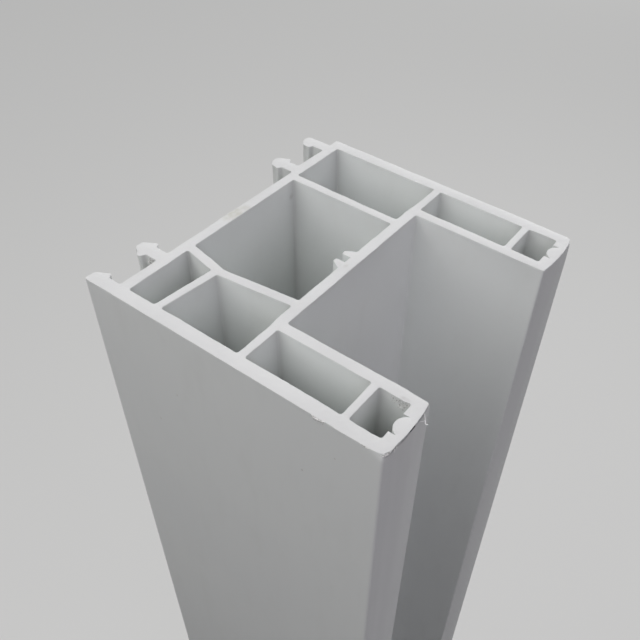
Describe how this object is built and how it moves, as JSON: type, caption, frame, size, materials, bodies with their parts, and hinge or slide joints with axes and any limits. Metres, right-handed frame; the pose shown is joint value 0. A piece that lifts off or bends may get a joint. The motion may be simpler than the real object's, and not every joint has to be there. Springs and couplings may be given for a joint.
{
  "type": "window frame profile section",
  "caption": "Sawn length of white PVC-U window frame extrusion: hollow chambered body, panel channel between two flanges, barbed clip slots behind.",
  "frame": {"origin": "centre of the section's box at the lower sawn end", "axes": "+Z along the bar, +X from the clip hooks towards the flange tips, -Y out of the front face"},
  "size_m": [0.0586, 0.06, 0.3],
  "materials": {
    "white_pvc": "smooth satin extruded faces, matt sawn ends"
  },
  "bodies": {
    "root": {"frame_profile": "white_pvc"}
  },
  "joints": []
}
